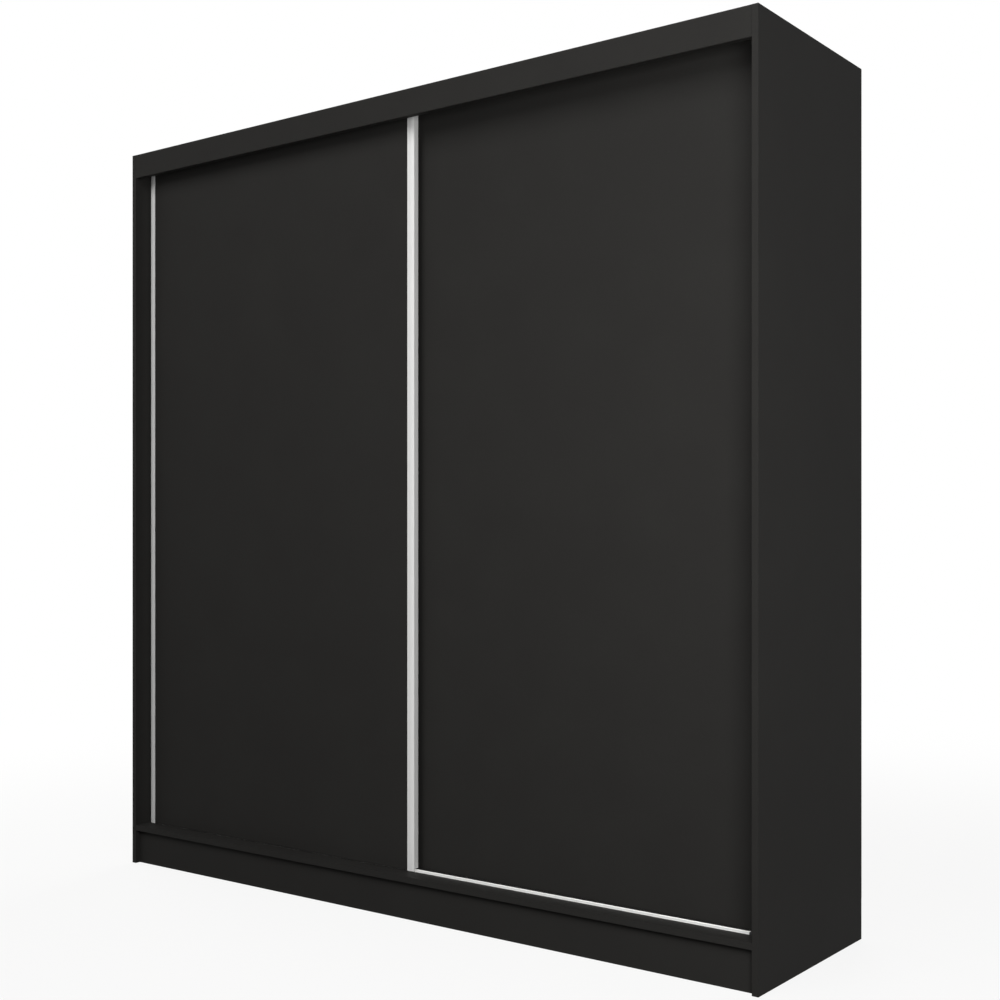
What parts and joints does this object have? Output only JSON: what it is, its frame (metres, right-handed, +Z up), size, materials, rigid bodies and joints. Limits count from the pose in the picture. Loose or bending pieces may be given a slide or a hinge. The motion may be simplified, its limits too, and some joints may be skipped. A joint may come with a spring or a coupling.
{
  "type": "sliding-door wardrobe",
  "caption": "Wide free-standing wardrobe with two overlapping doors that slide on rails, with aluminium edge grips, a fascia, shelves and a hanging rail inside.",
  "frame": {"origin": "on the floor, under the middle of the carcass", "axes": "+X to the right as seen from the doors, +Y from the doors to the back, +Z up"},
  "size_m": [2.1, 0.56, 2.15],
  "materials": {
    "carcass_board": "black melamine-faced chipboard, fine pearl texture, semi-matt",
    "door_board": "black melamine-faced chipboard, fine pearl texture, semi-matt",
    "hardboard": "3 mm hardboard, raw brown outside, black printed inside",
    "aluminium": "anodised, fine lengthwise grain",
    "chrome": "bright chrome plate",
    "zinc_steel": "bright zinc plate",
    "cam_zinc": "die-cast zinc",
    "black_plastic": "moulded, fine grain",
    "white_nylon": "turned nylon",
    "soft_rubber": "soft moulded pad",
    "beech": "fluted beech peg"
  },
  "bodies": {
    "carcass": {"back_nails": "zinc_steel", "back_panel_left": "hardboard", "back_panel_right": "hardboard", "bottom_panel": "carcass_board", "bottom_rail_front": "aluminium", "bottom_rail_rear": "aluminium", "bottom_rail_screws": "zinc_steel", "cam_bolts": "zinc_steel", "cam_locks": "cam_zinc", "door_buffers": "soft_rubber", "dowels": "beech", "fascia": "carcass_board", "hanging_rail": "chrome", "left_shelf_1": "carcass_board", "left_shelf_2": "carcass_board", "left_shelf_3": "carcass_board", "left_shelf_4": "carcass_board", "left_shelf_5": "carcass_board", "partition": "carcass_board", "partition_screws": "zinc_steel", "plinth_front": "carcass_board", "plinth_rear": "carcass_board", "plinth_support": "carcass_board", "rail_bracket_left": "chrome", "rail_bracket_right": "chrome", "rail_bracket_screws": "zinc_steel", "rail_end_pieces": "black_plastic", "right_shelf": "carcass_board", "shelf_pins": "zinc_steel", "side_panel_left": "carcass_board", "side_panel_right": "carcass_board", "top_panel": "carcass_board", "top_track": "aluminium", "top_track_screws": "zinc_steel", "wall_bracket_left": "zinc_steel", "wall_bracket_right": "zinc_steel", "wall_bracket_screws": "zinc_steel"},
    "left_door": {"left_door_fitting_screws": "zinc_steel", "left_door_panel": "door_board", "left_door_profile_left": "aluminium", "left_door_profile_right": "aluminium", "left_door_roller_housings": "black_plastic", "left_door_top_guides": "black_plastic", "left_door_wheel_axles": "zinc_steel"},
    "left_door_left_wheel": {"left_door_wheel_left": "white_nylon"},
    "left_door_right_wheel": {"left_door_wheel_right": "white_nylon"},
    "right_door": {"right_door_fitting_screws": "zinc_steel", "right_door_panel": "door_board", "right_door_profile_left": "aluminium", "right_door_profile_right": "aluminium", "right_door_roller_housings": "black_plastic", "right_door_top_guides": "black_plastic", "right_door_wheel_axles": "zinc_steel"},
    "right_door_left_wheel": {"right_door_wheel_left": "white_nylon"},
    "right_door_right_wheel": {"right_door_wheel_right": "white_nylon"}
  },
  "joints": [
    {"name": "left_door_slide", "type": "slide", "parent": "carcass", "child": "left_door", "axis": [1, 0, 0], "range_m": [0, 0.997]},
    {"name": "left_door_left_wheel_spin", "type": "hinge", "parent": "left_door", "child": "left_door_left_wheel", "pos_m": [-0.967, -0.22075, 0.1308], "axis": [0, 1, 0], "continuous": true},
    {"name": "left_door_right_wheel_spin", "type": "hinge", "parent": "left_door", "child": "left_door_right_wheel", "pos_m": [-0.03, -0.22075, 0.1308], "axis": [0, 1, 0], "continuous": true},
    {"name": "right_door_slide", "type": "slide", "parent": "carcass", "child": "right_door", "axis": [1, 0, 0], "range_m": [-0.997, 0]},
    {"name": "right_door_left_wheel_spin", "type": "hinge", "parent": "right_door", "child": "right_door_left_wheel", "pos_m": [0.03, -0.18475, 0.1308], "axis": [0, 1, 0], "continuous": true},
    {"name": "right_door_right_wheel_spin", "type": "hinge", "parent": "right_door", "child": "right_door_right_wheel", "pos_m": [0.967, -0.18475, 0.1308], "axis": [0, 1, 0], "continuous": true}
  ],
  "couplings": [
    {"joint": "left_door_left_wheel_spin", "follows": "left_door_slide", "rad_per_m": 83.333},
    {"joint": "left_door_right_wheel_spin", "follows": "left_door_slide", "rad_per_m": 83.333},
    {"joint": "right_door_left_wheel_spin", "follows": "right_door_slide", "rad_per_m": 83.333},
    {"joint": "right_door_right_wheel_spin", "follows": "right_door_slide", "rad_per_m": 83.333}
  ]
}
